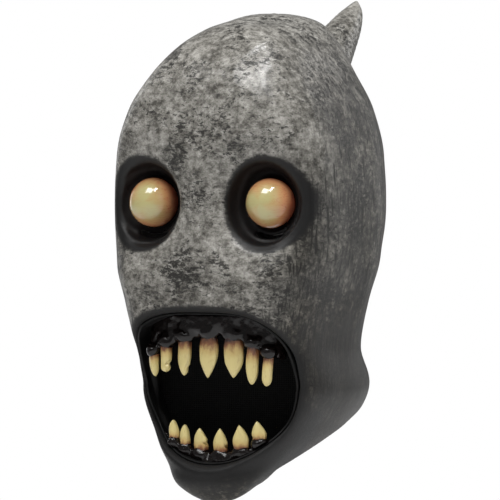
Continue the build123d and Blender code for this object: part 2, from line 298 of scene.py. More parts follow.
def neck_field(y, z):
    """Negative below the cut neck edge, which slopes up to the back and leaves the chin closed."""
    rim = -316.0 + 0.40 * y
    rim = rim - 20.0 * smoothstep(-68.0, -81.0, y) - 400.0 * smoothstep(-79.0, -85.0, y)
    return z - rim


# ------------------------------------------------------------------ surfaces
def surface_nets(field, origin, step):
    """Quads on the zero level of a sampled field."""
    inside = field < 0
    cut = tuple(n - 1 for n in field.shape)
    count = np.zeros(cut, np.uint8)
    corners = [(i, j, k) for i in (0, 1) for j in (0, 1) for k in (0, 1)]
    for i, j, k in corners:
        count += inside[i:i + cut[0], j:j + cut[1], k:k + cut[2]]
    cells = np.argwhere((count > 0) & (count < 8))
    total = np.zeros((len(cells), 3))
    hits = np.zeros(len(cells))
    for a in corners:
        for axis in range(3):
            if a[axis]:
                continue
            b = list(a)
            b[axis] = 1
            fa = field[tuple((cells + a).T)].astype(float)
            fb = field[tuple((cells + b).T)].astype(float)
            cross = (fa < 0) != (fb < 0)
            t = np.where(cross, fa / np.where(cross, fa - fb, 1), 0)
            point = np.tile(np.array(a, float), (len(cells), 1))
            point[:, axis] += t
            total += point * cross[:, None]
            hits += cross
    verts = cells + total / hits[:, None]
    index = np.full(cut, -1, np.int64)
    index[tuple(cells.T)] = np.arange(len(cells))
    quads = []
    for axis in range(3):
        u = (axis + 1) % 3
        v = (axis + 2) % 3
        lo = [slice(None)] * 3
        hi = [slice(None)] * 3
        lo[axis] = slice(0, -1)
        hi[axis] = slice(1, None)
        for other in (u, v):
            lo[other] = slice(1, -1)
            hi[other] = slice(1, -1)
        low = inside[tuple(lo)]
        high = inside[tuple(hi)]
        edges = np.argwhere(low != high)
        rising = low[tuple(edges.T)]
        shift = np.zeros(3, int)
        shift[u] = shift[v] = 1
        edges = edges + shift
        eu = np.eye(3, dtype=int)[u]
        ev = np.eye(3, dtype=int)[v]
        none = np.zeros(3, int)
        ring = [index[tuple((edges - d).T)] for d in (eu + ev, ev, none, eu)]
        quad = np.stack(ring, axis=1)
        quad[~rising] = quad[~rising][:, ::-1]
        quads.append(quad)
    return verts * step + origin, np.concatenate(quads)


def sample(field, origin, step, points):
    """Field values between the grid points."""
    p = np.clip((points - origin) / step, 0, np.array(field.shape) - 1.001)
    base = p.astype(int)
    f = p - base
    share = ((1 - f), f)
    value = 0
    for i in (0, 1):
        for j in (0, 1):
            for k in (0, 1):
                w = share[i][:, 0] * share[j][:, 1] * share[k][:, 2]
                value = value + w * field[base[:, 0] + i, base[:, 1] + j, base[:, 2] + k]
    return value


def settle(field, origin, step, points, rounds=2):
    """Moves points onto the zero level."""
    for _ in range(rounds):
        value = sample(field, origin, step, points)
        slope = np.empty_like(points)
        for axis in range(3):
            d = np.zeros(3)
            d[axis] = 0.5 * step
            ahead = sample(field, origin, step, points + d)
            behind = sample(field, origin, step, points - d)
            slope[:, axis] = (ahead - behind) / step
        size = np.maximum((slope**2).sum(axis=1), 0.2)
        move = -(value / size)[:, None] * slope
        points = points + np.clip(move, -0.6 * step, 0.6 * step)
    return points


def mesh_object(name, verts, faces, smooth=True):
    """A mesh from points in mm and quads or triangles."""
    mesh = bpy.data.meshes.new(name)
    verts = np.asarray(verts, np.float32) * MM
    faces = np.asarray(faces, np.int32)
    sides = faces.shape[1]
    mesh.vertices.add(len(verts))
    mesh.vertices.foreach_set("co", verts.ravel())
    mesh.loops.add(faces.size)
    mesh.loops.foreach_set("vertex_index", faces.ravel())
    mesh.polygons.add(len(faces))
    mesh.polygons.foreach_set("loop_start", np.arange(len(faces), dtype=np.int32) * sides)
    mesh.polygons.foreach_set("loop_total", np.full(len(faces), sides, np.int32))
    mesh.update(calc_edges=True)
    mesh.validate()
    if smooth:
        mesh.polygons.foreach_set("use_smooth", np.ones(len(mesh.polygons), bool))
    obj = bpy.data.objects.new(name, mesh)
    bpy.context.scene.collection.objects.link(obj)
    return obj


def paint(obj, name, values):
    """Stores one number per vertex for the material to read."""
    layer = obj.data.attributes.new(name, "FLOAT", "POINT")
    layer.data.foreach_set("value", np.asarray(values, np.float32))


def grid(lo, hi, step):
    """Three axes of a grid that broadcast together, its first point and its shape."""
    axes = [np.arange(a, b + step, step, dtype=np.float32) for a, b in zip(lo, hi)]
    return (axes[0][:, None, None], axes[1][None, :, None], axes[2][None, None, :],
            np.array([axis[0] for axis in axes]), tuple(len(axis) for axis in axes))


def band(first, second, around, turned=False):
    """Quads between two rings of points, given by the index of the first point of each."""
    quads = []
    for j in range(around):
        k = (j + 1) % around
        if turned:
            quads.append((first + j, second + j, second + k, first + k))
        else:
            quads.append((first + j, first + k, second + k, second + j))
    return quads


def tube(start, rings, around, turned=False):
    """Quads between all the rings of a tube."""
    quads = []
    for i in range(rings):
        quads += band(start + i * around, start + (i + 1) * around, around, turned)
    return quads


def use(obj, mat):
    obj.data.materials.clear()
    obj.data.materials.append(mat)


def place(obj, node, material):
    """Puts a finished piece in the place of its CAD node."""
    use(obj, material)
    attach(obj, "root")
    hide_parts(node)


# ------------------------------------------------------------------ skin
def build_skin(material):
    """The skin in one piece: head, horn, rolled lips, socket bowls, slits and the cut edges."""
    x, y, z, origin, shape = grid(SKIN_LOW, SKIN_HIGH, GRID)
    body = normalised(skull_field(x, y, np.broadcast_to(z, (1, 1, shape[2]))), GRID)
    for height, width, seed in DENTS:
        body = body + height * lattice_noise(shape, width / GRID, seed)
    body = smooth_min(body, horn_field(x, y, z).astype(np.float32), HORN_BLEND)
    body = body - VEIN_HEIGHT * vein_height(x, y, z)
    # the lower lip rolls outward, the upper lip only a little
    mouth = mouth_field(x, z)
    roll = LIP_ROLL + LIP_ROLL_LOWER * smoothstep(MOUTH_Z, -310.0, z)
    body = body - roll * np.exp(-((mouth - 4.0) / 5.0) ** 2) * smoothstep(-40.0, -75.0, y)
    for eye in EYES:
        # a wide soft hollow around the eye, then the bowl with its lid folds
        dx, dz = x - eye[0], z - eye[2]
        ring = np.sqrt(dx**2 + dz**2)
        body = body + HOLLOW_DEPTH * smoothstep(62.0, 30.0, ring) * smoothstep(-97.0, -112.0, y)
        fold = fold_height(ring, np.arctan2(dz, dx), eye)
        body = smooth_max(body, -(socket_field(x, y, z, eye) - fold), SOCKET_BLEND)
    body = smooth_max(body, -np.maximum(mouth, y - MOUTH_DEPTH_Y), LIP_BLEND)
    shell = np.abs(body + 0.5 * WALL) - 0.5 * WALL
    opening = np.maximum(mouth + 0.5, np.abs(y - TRIM_Y) - TRIM_HALF)
    shell = smooth_max(shell, -opening, TRIM_BLEND)
    for eye in EYES:
        dx, dy, dz = x - eye[0], y - eye[1], z - eye[2]
        ball = np.sqrt(dx**2 + dy**2 + dz**2) - EYE_R - EYE_GAP
        shell = np.maximum(shell, -ball)
        shell = np.maximum(shell, -slit_field(dx, dy, dz))
    shell = smooth_max(shell, -neck_field(y, z), NECK_BLEND)
    verts, quads = surface_nets(shell, origin, GRID)
    verts = settle(shell, origin, GRID, verts)
    skin = mesh_object("skin", verts, quads)
    paint_skin(skin, verts, sample(body, origin, GRID, verts))
    place(skin, "head_skin", material)


def paint_skin(skin, verts, depth):
    """Where the skin is bare inside, sooty round the eyes and lips, darker at the sides and the jaw from
    airbrushed paint and painted shade, and matt in the mouth.
    """
    x, y, z = verts.T
    paint(skin, "inner", smoothstep(-1.0, -2.2, depth))
    facing = smoothstep(-30.0, -60.0, y)
    soot = np.zeros(len(verts))
    for eye in EYES:
        out = math.copysign(3.0, eye[0])
        ring = np.sqrt(((x - eye[0] - out) / 0.93) ** 2 + (z - eye[2] + 0.8) ** 2) - SOOT_R
        soot = np.maximum(soot, smoothstep(6.0, -2.5, ring) * facing)
    lip = mouth_field(x, z)
    reach = 9.0 + 24.0 * smoothstep(-282.0, -330.0, z)
    soot = np.maximum(soot, smoothstep(1.0, 0.0, lip / reach) * facing)
    paint(skin, "soot", soot)
    # darker at the sides and back, at the lower edges of the face and most at the jaw and chin: partly
    # airbrushed paint, partly painted shade
    side = smoothstep(-106.0, -35.0, y) * smoothstep(15.0, -60.0, z)
    edge = smoothstep(58.0, 84.0, np.abs(x)) * smoothstep(-60.0, -170.0, z)
    jaw = smoothstep(-185.0, -285.0, z) * (1.0 + 0.25 * smoothstep(30.0, 75.0, np.abs(x)))
    paint(skin, "shade", np.clip(np.maximum(0.80 * side, 0.75 * edge) + 1.1 * jaw, 0, 1.5))
    paint(skin, "pit", smoothstep(6.0, 0.0, lip) * facing)


# ------------------------------------------------------------------ materials
def new_material(name):
    mat = bpy.data.materials.new(name)
    mat.use_nodes = True
    return mat, mat.node_tree.nodes["Principled BSDF"]


def rgba(value):
    """A colour for a socket or a ramp. A number stands for a grey."""
    return (*value, 1) if isinstance(value, tuple) else (value, value, value, 1)


class Nodes:
    """Short names for the nodes that the materials use."""

    def __init__(self, tree):
        self.tree = tree
        self.coord = tree.nodes.new("ShaderNodeTexCoord").outputs["Object"]

    def link(self, a, b):
        self.tree.links.new(a, b)

    def scaled(self, scale):
        node = self.tree.nodes.new("ShaderNodeMapping")
        node.inputs["Scale"].default_value = scale
        self.link(self.coord, node.inputs["Vector"])
        return node.outputs["Vector"]

    def noise(self, scale, detail=4.0, rough=0.55, vector=None, distortion=0.0):
        node = self.tree.nodes.new("ShaderNodeTexNoise")
        node.inputs["Scale"].default_value = scale
        node.inputs["Detail"].default_value = detail
        node.inputs["Roughness"].default_value = rough
        node.inputs["Distortion"].default_value = distortion
        self.link(vector or self.coord, node.inputs["Vector"])
        return node.outputs["Fac"]

    def ramp(self, value, stops):
        node = self.tree.nodes.new("ShaderNodeValToRGB")
        elements = node.color_ramp.elements
        while len(elements) < len(stops):
            elements.new(0.5)
        for element, (position, colour) in zip(elements, stops):
            element.position = position
            element.color = rgba(colour)
        self.link(value, node.inputs["Fac"])
        return node.outputs["Color"]

    def mix(self, factor, a, b):
        """Mixes two colours by a factor that comes from a node."""
        node = self.tree.nodes.new("ShaderNodeMix")
        node.data_type = "RGBA"
        self.link(factor, node.inputs[0])
        for socket, value in zip((node.inputs[6], node.inputs[7]), (a, b)):
            if isinstance(value, bpy.types.NodeSocket):
                self.link(value, socket)
            else:
                socket.default_value = rgba(value)
        return node.outputs[2]

    def math(self, operation, a, b):
        node = self.tree.nodes.new("ShaderNodeMath")
        node.operation = operation
        for socket, value in zip(node.inputs, (a, b)):
            if isinstance(value, bpy.types.NodeSocket):
                self.link(value, socket)
            else:
                socket.default_value = value
        return node.outputs[0]

    def spread(self, noise, amount):
        """A noise moved to lie round zero, times an amount."""
        return self.math("MULTIPLY", self.math("SUBTRACT", noise, 0.5), amount)

    def attribute(self, name):
        node = self.tree.nodes.new("ShaderNodeAttribute")
        node.attribute_name = name
        return node.outputs["Fac"]

    def bump(self, height, strength, distance, normal=None):
        node = self.tree.nodes.new("ShaderNodeBump")
        node.inputs["Strength"].default_value = strength
        node.inputs["Distance"].default_value = distance
        self.link(height, node.inputs["Height"])
        if normal is not None:
            self.link(normal, node.inputs["Normal"])
        return node.outputs["Normal"]


# Colour ramps: position on the noise, then colour.
PAINT = [(0.36, (0.060, 0.056, 0.049)), (0.47, (0.158, 0.151, 0.135)),
         (0.55, (0.245, 0.236, 0.214)), (0.68, (0.385, 0.374, 0.346))]
# darker grey for the sides: airbrushed paint with painted shade
PAINT_DARK_AND_SHADED = [(0.38, (0.004, 0.0035, 0.0025)), (0.48, (0.018, 0.016, 0.012)),
              (0.56, (0.062, 0.055, 0.043)), (0.66, (0.160, 0.147, 0.122))]
# near black for the jaw and chin: airbrushed paint with painted shade
JAW_DARK_AND_SHADED = (0.016, 0.0145, 0.012)
SCRATCH_COLOUR = (0.0085, 0.0078, 0.0066)
DUST_COLOUR = (0.040, 0.037, 0.033)
SOOT_COLOUR = (0.0045, 0.0042, 0.0042)
BARE_LATEX = [(0.3, (0.045, 0.043, 0.040)), (0.7, (0.075, 0.072, 0.066))]
EYE_COLOURS = [(0.05, (0.42, 0.375, 0.170)), (0.24, (0.44, 0.315, 0.135)),
               (0.56, (0.50, 0.235, 0.105)), (1.0, (0.26, 0.07, 0.035))]
EYE_VEIN = (0.36, 0.085, 0.045)
TOOTH_COLOURS = [(0.12, (0.60, 0.50, 0.215)), (0.40, (0.52, 0.37, 0.14)),
                 (0.62, (0.20, 0.075, 0.028)), (0.82, (0.025, 0.008, 0.007))]
TOOTH_FLECK = (0.33, 0.19, 0.07)
NET_COLOURS = [(0.35, 0.0008), (0.8, 0.006)]


def skin_material():
    """Grey latex paint, sponged and scratched with black, darker at the sides and the jaw from airbrushed
    paint and painted shade.
    """
    mat, shader = new_material("painted_latex")
    n = Nodes(mat.node_tree)
    cluster = n.noise(27.0, 4.0, 0.6)
    tone = n.noise(150.0, 9.0, 0.76, vector=n.scaled((1.0, 1.0, 1.35)))
    cloud = n.noise(33.0, 4.0, 0.6)
    grain = n.noise(640.0, 4.0, 0.7)
    stroke = n.noise(210.0, 9.0, 0.78, vector=n.scaled((1.0, 1.0, 1.9)), distortion=0.5)
    streak = n.noise(95.0, 8.0, 0.74, vector=n.scaled((2.6, 2.6, 0.35)))
    shade = n.attribute("shade")
    # the sponged grey, going over to a darker one at the sides and to near black at the jaw: airbrushed paint
    # with painted shade
    mottle = n.math("ADD", tone, n.spread(cloud, 0.35))
    base = n.mix(shade, n.ramp(mottle, PAINT), n.ramp(mottle, PAINT_DARK_AND_SHADED))
    base = n.mix(n.ramp(n.math("SUBTRACT", shade, 0.95), [(0.0, 0.0), (0.5, 0.75)]), base, JAW_DARK_AND_SHADED)
    # black specks in clusters, and long thin streaks that are denser at the sides
    speck = n.ramp(n.math("ADD", stroke, n.spread(cluster, 0.55)), [(0.545, 0.0), (0.570, 0.85), (0.60, 1.0)])
    scratch = n.ramp(n.math("ADD", streak, n.math("MULTIPLY", shade, 0.05)), [(0.54, 0.0), (0.61, 1.0)])
    scratch = n.math("MULTIPLY", scratch, n.ramp(shade, [(0.05, 0.25), (0.5, 1.0)]))
    dirt = n.math("MAXIMUM", speck, scratch)
    colour = n.mix(n.math("MULTIPLY", dirt, 0.94), base, SCRATCH_COLOUR)
    colour = n.mix(n.ramp(grain, [(0.55, 0.0), (0.66, 0.5)]), colour, DUST_COLOUR)
    # soot round the eyes and the lips, with a ragged edge
    soot = n.math("ADD", n.attribute("soot"), n.spread(stroke, 1.1))
    soot = n.ramp(soot, [(0.16, 0.0), (0.50, 0.88), (0.75, 1.0)])
    colour = n.mix(soot, colour, SOOT_COLOUR)
    colour = n.mix(n.attribute("inner"), colour, n.ramp(tone, BARE_LATEX))
    n.link(colour, shader.inputs["Base Color"])
    rough = n.mix(dirt, n.ramp(tone, [(0.3, 0.15), (0.7, 0.26)]), 0.42)
    rough = n.mix(shade, rough, 0.46)
    rough = n.mix(soot, rough, 0.50)
    n.link(n.mix(n.attribute("pit"), rough, 0.72), shader.inputs["Roughness"])
    shader.inputs["Specular IOR Level"].default_value = 0.30
    normal = n.bump(grain, 0.15, 0.0002)
    normal = n.bump(tone, 0.25, 0.0005, normal)
    n.link(n.bump(n.math("MULTIPLY", dirt, -1.0), 0.16, 0.0003, normal), shader.inputs["Normal"])
    return mat


def eye_material():
    """Glossy cream that turns orange and red towards the rim, with faint veins."""
    mat, shader = new_material("glossy_eye")
    n = Nodes(mat.node_tree)
    rim = n.attribute("rim")
    patch = n.noise(70.0, 3.0, 0.6)
    colour = n.ramp(n.math("ADD", rim, n.spread(patch, 0.45)), EYE_COLOURS)
    vein = n.noise(95.0, 5.0, 0.6, vector=n.scaled((0.35, 0.35, 1.6)), distortion=1.3)
    line = n.ramp(vein, [(0.485, 0.0), (0.50, 1.0), (0.515, 0.0)])
    line = n.math("MULTIPLY", line, n.ramp(rim, [(0.05, 0.10), (0.6, 0.85)]))
    n.link(n.mix(line, colour, EYE_VEIN), shader.inputs["Base Color"])
    n.link(n.ramp(patch, [(0.3, 0.10), (0.7, 0.17)]), shader.inputs["Roughness"])
    shader.inputs["Subsurface Weight"].default_value = 0.08
    shader.inputs["Subsurface Radius"].default_value = (0.006, 0.004, 0.002)
    shader.inputs["Coat Weight"].default_value = 0.6
    shader.inputs["Coat Roughness"].default_value = 0.04
    n.link(n.bump(n.noise(150.0, 2.0, 0.5), 0.10, 0.0005), shader.inputs["Normal"])
    return mat


def tooth_material():
    """Old ivory, stained brown towards the gum."""
    mat, shader = new_material("stained_ivory")
    n = Nodes(mat.node_tree)
    grime = n.noise(190.0, 4.0, 0.65, vector=n.scaled((1.0, 1.0, 0.45)))
    colour = n.ramp(n.math("ADD", n.attribute("root"), n.spread(grime, 0.75)), TOOTH_COLOURS)
    fleck = n.noise(420.0, 4.0, 0.7, vector=n.scaled((1.0, 1.0, 0.35)))
    colour = n.mix(n.ramp(fleck, [(0.60, 0.0), (0.74, 0.55)]), colour, TOOTH_FLECK)
    n.link(colour, shader.inputs["Base Color"])
    n.link(n.ramp(grime, [(0.3, 0.28), (0.7, 0.44)]), shader.inputs["Roughness"])
    shader.inputs["Coat Weight"].default_value = 0.25
    shader.inputs["Coat Roughness"].default_value = 0.15
    ridges = n.noise(300.0, 3.0, 0.6, vector=n.scaled((1.0, 1.0, 0.2)))
    n.link(n.bump(ridges, 0.3, 0.0006), shader.inputs["Normal"])
    return mat


def dark_material(name, colour, rough, specular=0.5, scale=160.0, bump=0.4, depth=0.0012):
    """Dark painted latex or raw latex, from matt to wet-looking."""
    mat, shader = new_material(name)
    n = Nodes(mat.node_tree)
    mottle = n.noise(scale, 4.0, 0.6)
    low = tuple(0.6 * c for c in colour)
    high = tuple(1.5 * c for c in colour)
    n.link(n.ramp(mottle, [(0.3, low), (0.7, high)]), shader.inputs["Base Color"])
    gloss = n.ramp(n.noise(0.5 * scale, 3.0, 0.5), [(0.3, 0.8 * rough), (0.7, 1.2 * rough)])
    n.link(gloss, shader.inputs["Roughness"])
    shader.inputs["Specular IOR Level"].default_value = specular
    n.link(n.bump(mottle, bump, depth), shader.inputs["Normal"])
    return mat


def foam_material(name, colour):
    """Open-cell foam."""
    mat, shader = new_material(name)
    n = Nodes(mat.node_tree)
    node = n.tree.nodes.new("ShaderNodeTexVoronoi")
    node.inputs["Scale"].default_value = 700.0
    n.link(n.coord, node.inputs["Vector"])
    cell = node.outputs["Distance"]
    low = tuple(0.45 * c for c in colour)
    n.link(n.ramp(cell, [(0.15, low), (0.55, colour)]), shader.inputs["Base Color"])
    shader.inputs["Roughness"].default_value = 0.95
    n.link(n.bump(cell, 0.6, 0.0008), shader.inputs["Normal"])
    return mat


def mesh_material():
    """Black woven net: fine strands with darker gaps between them."""
    mat, shader = new_material("black_net")
    n = Nodes(mat.node_tree)
    wave = []
    for direction in ("X", "Z"):
        node = n.tree.nodes.new("ShaderNodeTexWave")
        node.bands_direction = direction
        node.inputs["Scale"].default_value = 190.0
        node.inputs["Distortion"].default_value = 0.4
        n.link(n.coord, node.inputs["Vector"])
        wave.append(node.outputs["Fac"])
    strand = n.math("MAXIMUM", wave[0], wave[1])
    n.link(n.ramp(strand, NET_COLOURS), shader.inputs["Base Color"])
    n.link(n.ramp(strand, [(0.2, 1.0), (0.8, 0.8)]), shader.inputs["Roughness"])
    shader.inputs["Specular IOR Level"].default_value = 0.08
    n.link(n.bump(strand, 0.6, 0.0006), shader.inputs["Normal"])
    return mat


# ------------------------------------------------------------------ eyes
EYE_OPEN_ANGLE = math.radians(134.0)   # from the front of the eyeball to its open back edge
EYE_THICK = 2.0                        # shell thickness in mm
EYE_EDGE_ANGLE = math.radians(88.0)    # where the red of the rim is full
EYE_RINGS = 56
EYE_AROUND = 72


def build_eye(name, node, eye, material):
    """A slightly uneven eyeball shell, outer side first and then the inner side."""
    rng = np.random.default_rng(len(name))
    phase = rng.uniform(0, 6.28, 6)
    angles = [EYE_OPEN_ANGLE * i / EYE_RINGS for i in range(EYE_RINGS + 1)]
    profile = [(EYE_R, angle) for angle in angles]
    profile += [(EYE_R - EYE_THICK, angle) for angle in reversed(angles)]
    verts = []
    rim = []
    for radius, angle in profile:
        for j in range(EYE_AROUND):
            turn = 2 * math.pi * j / EYE_AROUND
            dx = math.sin(angle) * math.cos(turn)
            dz = math.sin(angle) * math.sin(turn)
            dy = -math.cos(angle)
            swell = 0.16 * math.sin(3 * dx + phase[0]) * math.sin(4 * dz + phase[1])
            swell += 0.07 * math.sin(9 * dx + phase[2]) * math.sin(8 * dz + phase[3])
            r = radius - 0.15 + 0.6 * swell
            verts.append((eye[0] + r * dx, eye[1] + r * dy, eye[2] + r * dz))
            rim.append(min(1.0, (angle / EYE_EDGE_ANGLE) ** 2.0 + 0.10 * math.sin(3 * turn + phase[4])))
    obj = mesh_object(name, verts, tube(0, len(profile) - 1, EYE_AROUND))
    paint(obj, "rim", rim)
    place(obj, node, material)


# ------------------------------------------------------------------ teeth
# Shape of each tooth: tip (0 blunt to 1 pointed), belly, lean of the tip in mm, forward tilt, chips.
# Each chip: side, height share from the root, depth in mm.
UPPER_STYLE = [
    (0.70, 0.10, 1.6, 2.0, ()),
    (0.10, 0.05, 0.2, 1.0, ((1, 0.72, 3.6), (1, 0.95, 2.6))),
    (0.65, 0.10, -0.4, 1.5, ((1, 0.80, 2.6),)),
    (0.90, 0.32, -0.8, 2.0, ()),
    (0.80, 0.34, 0.4, 2.0, ()),
    (0.55, 0.06, -0.6, 2.5, ()),
    (0.25, 0.02, -1.6, 1.5, ((-1, 0.95, 2.0),)),
]
LOWER_STYLE = [
    (0.75, 0.20, -0.8, 1.0, ()),
    (0.70, 0.15, -0.6, 1.0, ()),
    (0.95, 0.28, -0.8, 1.5, ((1, 0.42, 2.2),)),
    (1.00, 0.24, -0.4, 1.5, ((1, 0.35, 1.8),)),
    (0.95, 0.24, -1.8, 1.5, ()),
    (0.95, 0.24, -1.2, 1.5, ((-1, 0.30, 1.8),)),
]
TOOTH_RINGS = 44
TOOTH_AROUND = 40
TOOTH_SQUARE = 0.86                    # below 1 the cross-section is squarer than an ellipse
TOOTH_NARROW = 0.02                    # least width share at the tip
TOOTH_WIDTH = 0.97                     # shares of the CAD tooth's width and thickness that are filled
TOOTH_THICKNESS = 0.94
UPPER_TOOTH_SEED = 20
LOWER_TOOTH_SEED = 40
STAIN_REACH = 0.62                     # height share at which the brown of the root ends


def build_tooth(name, style, down, material, seed):
    """One carved tooth inside the box of its CAD node, root end in the gum."""
    lo, hi = box_mm(name)
    point, belly, lean, tilt, chips = style
    rng = np.random.default_rng(seed)
    mid = 0.5 * (lo + hi)
    root_z, tip_z = (hi[2], lo[2]) if down else (lo[2], hi[2])
    turn = math.radians(0.5 * mid[0])
    half_w = 0.5 * (hi[0] - lo[0]) * TOOTH_WIDTH
    half_t = 0.5 * (hi[1] - lo[1]) * TOOTH_THICKNESS
    wave = rng.uniform(0, 6.28, 8)
    verts = []
    root = []
    for i in range(TOOTH_RINGS + 1):
        s = i / TOOTH_RINGS
        w = 0.74 + belly * math.sin(math.pi * min(1.0, s * 1.05)) ** 1.2
        w = max(min(w, 1.0) * smooth_end(s, point), TOOTH_NARROW)
        d = max((1.0 - 0.42 * s) * smooth_end(s, 0.5 * point), TOOTH_NARROW)
        z = root_z + (tip_z - root_z) * s
        for j in range(TOOTH_AROUND):
            a = 2 * math.pi * j / TOOTH_AROUND
            ca, sa = math.cos(a), math.sin(a)
            ripple = 1 + 0.022 * math.sin(3 * a + wave[0] + 5 * s) + 0.016 * math.sin(7 * a + wave[1] - 9 * s)
            px = math.copysign(abs(ca) ** TOOTH_SQUARE, ca) * half_w * w * ripple
            py = math.copysign(abs(sa) ** TOOTH_SQUARE, sa) * half_t * d * ripple
            px += 0.25 * math.sin(7 * s + wave[2])
            for side, height, depth in chips:
                if px * side > 0:
                    near = math.exp(-((s - height) / 0.075) ** 2) * min(1.0, abs(px) / half_w)
                    px -= side * depth * near * (0.8 + 0.35 * math.sin(23 * s + 5 * a))
            x = mid[0] + lean * s * s + px * math.cos(turn) - py * math.sin(turn)
            y = mid[1] - 0.6 * tilt * s * s + px * math.sin(turn) + py * math.cos(turn)
            verts.append((x, y, z + 0.25 * math.sin(2 * a + wave[3]) * s * (1 - s)))
            root.append(1.0 - s / STAIN_REACH)
    faces = tube(0, TOOTH_RINGS, TOOTH_AROUND)
    if down:
        faces = [quad[::-1] for quad in faces]
    obj = mesh_object(name + "_carved", verts, faces)
    close_ends(obj, TOOTH_AROUND)
    paint(obj, "root", np.clip(root, 0, 1))
    place(obj, name, material)


def smooth_end(s, point):
    """Width share along a tooth: rounded at a blunt tip, drawn in early at a pointed one."""
    start = 0.86 - 0.56 * point
    if s < start:
        return 1.0
    t = (s - start) / (1 - start)
    return max(0.0, 1 - t ** (3.2 - 1.3 * point)) ** (0.5 + 0.22 * point)


def close_ends(obj, around):
    """Caps both ends of a tube."""
    mesh = bmesh.new()
    mesh.from_mesh(obj.data)
    edges = [e for e in mesh.edges if e.is_boundary]
    bmesh.ops.holes_fill(mesh, edges=edges, sides=around)
    write_back(mesh, obj)


def merge_close(obj):
    """Joins points that lie in the same place."""
    mesh = bmesh.new()
    mesh.from_mesh(obj.data)
    bmesh.ops.remove_doubles(mesh, verts=mesh.verts, dist=0.02 * MM)
    write_back(mesh, obj)


def write_back(mesh, obj):
    """Turns the faces outward, makes them smooth and stores the mesh in its object."""
    bmesh.ops.recalc_face_normals(mesh, faces=mesh.faces)
    for face in mesh.faces:
        face.smooth = True
    mesh.to_mesh(obj.data)
    mesh.free()


# ------------------------------------------------------------------ gums
# Each gum: direction of its teeth's roots, middle and bend of its edge in mm, curve of its front.
UPPER_GUM = (1.0, -239.0, 17.0, 0.0030)
LOWER_GUM = (-1.0, -328.0, -17.0, 0.0042)
GUM_HALF_WIDTH = 59.0
GUM_INSET = 2.0                        # the gum stays this far inside the mouth outline, mm
MOUND_DEPTH = 5.8                      # half size of the mound round each root, mm
MOUND_HEIGHT = 5.6
UPPER_GUM_SEED = 61
LOWER_GUM_SEED = 71


def build_gum(name, teeth, shape_of_gum, material, seed):
    """Lumpy gum: a ridge along the jaw, a mound round each root and wrinkles between them."""
    side, drop, bend, arch = shape_of_gum
    lo, hi = box_mm(name)
    x, y, z, origin, shape = grid(lo - 3, hi + 3, GUM_GRID)
    line = drop - bend * (x / 50.0) ** 2
    inner = mouth_field(x, z) + GUM_INSET
    near = lo[1] + 2.0 + arch * x**2
    slab = smooth_max(side * (line - z) + 4.0, near - y, 5.0)
    slab = smooth_max(slab, np.abs(x) - GUM_HALF_WIDTH, 6.0)
    slab = np.maximum(np.maximum(slab, inner), y - hi[1] + 1.5)
    field = slab.astype(np.float32)
    for tooth in teeth:
        a, b = box_mm(tooth)
        mid = 0.5 * (a + b)
        root_z = (b[2] - 5.0) if side > 0 else (a[2] + 5.0)
        dx = (x - mid[0]) / (0.5 * (b[0] - a[0]) + 0.9)
        dy = (y - mid[1] + 0.4) / MOUND_DEPTH
        dz = (z - (root_z + side * 4.4)) / MOUND_HEIGHT
        mound = (np.sqrt(dx**2 + dy**2 + dz**2) - 1.0) * 5.2
        field = smooth_min(field, np.maximum(mound, inner).astype(np.float32), 3.4)
    lumps = lattice_noise(shape, 5.0 / GUM_GRID, seed)
    ripples = lattice_noise(shape, 2.4 / GUM_GRID, seed + 1)
    field = field + 0.95 * lumps + 0.55 * ripples
    verts, quads = surface_nets(field, origin, GUM_GRID)
    verts = settle(field, origin, GUM_GRID, verts)
    verts = np.clip(verts, lo, hi)
    place(mesh_object(name + "_lumpy", verts, quads), name, material)


# ------------------------------------------------------------------ foam and linings
FOAM_VOXEL = 0.0022                    # metres
PAD_UNEVEN = 0.9                       # how uneven the foam is, mm
CORE_UNEVEN = 0.2


def vertex_values(mesh, name):
    """Three numbers of every vertex, one row each."""
    values = np.empty(len(mesh.vertices) * 3, np.float32)
    mesh.vertices.foreach_get(name, values)
    return values.reshape(-1, 3)


def soft_copy(node, name, material, lump):
    """A remeshed copy of a simple CAD solid, a little smaller and uneven by lump mm."""
    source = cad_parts[node]
    obj = bpy.data.objects.new(name, source.data.copy())
    bpy.context.scene.collection.objects.link(obj)
    obj.matrix_world = source.matrix_world.copy()
    remesh = obj.modifiers.new("remesh", "REMESH")
    remesh.mode = "VOXEL"
    remesh.voxel_size = FOAM_VOXEL
    smooth = obj.modifiers.new("smooth", "SMOOTH")
    smooth.factor = 0.5
    smooth.iterations = 6
    depsgraph = bpy.context.evaluated_depsgraph_get()
    mesh = bpy.data.meshes.new_from_object(obj.evaluated_get(depsgraph))
    obj.modifiers.clear()
    obj.data = mesh
    co = vertex_values(mesh, "co")
    normal = vertex_values(mesh, "normal")
    px, py, pz = (co / MM).T
    wave = np.sin(px * 0.31 + 1.0) * np.sin(py * 0.27) + np.sin(pz * 0.37) * np.sin(px * 0.19 + 2.0)
    co = co - normal * (0.25 + lump * (0.5 + 0.25 * wave))[:, None] * MM
    mesh.vertices.foreach_set("co", co.ravel())
    mesh.polygons.foreach_set("use_smooth", np.ones(len(mesh.polygons), bool))
    mesh.update()
    place(obj, node, material)
    return obj


def ring_point(turn, inset):
    """Point of the mouth outline, moved inward by inset."""
    ca, sa = math.cos(turn), math.sin(turn)
    high = (MOUTH_RISE if sa > 0 else MOUTH_FALL) - inset
    power = UPPER_POWER if sa > 0 else LOWER_POWER
    wide = MOUTH_HALF - inset
    radius = (abs(ca / wide) ** power + abs(sa / high) ** power) ** (-1.0 / power)
    return radius * ca, MOUTH_Z + radius * sa


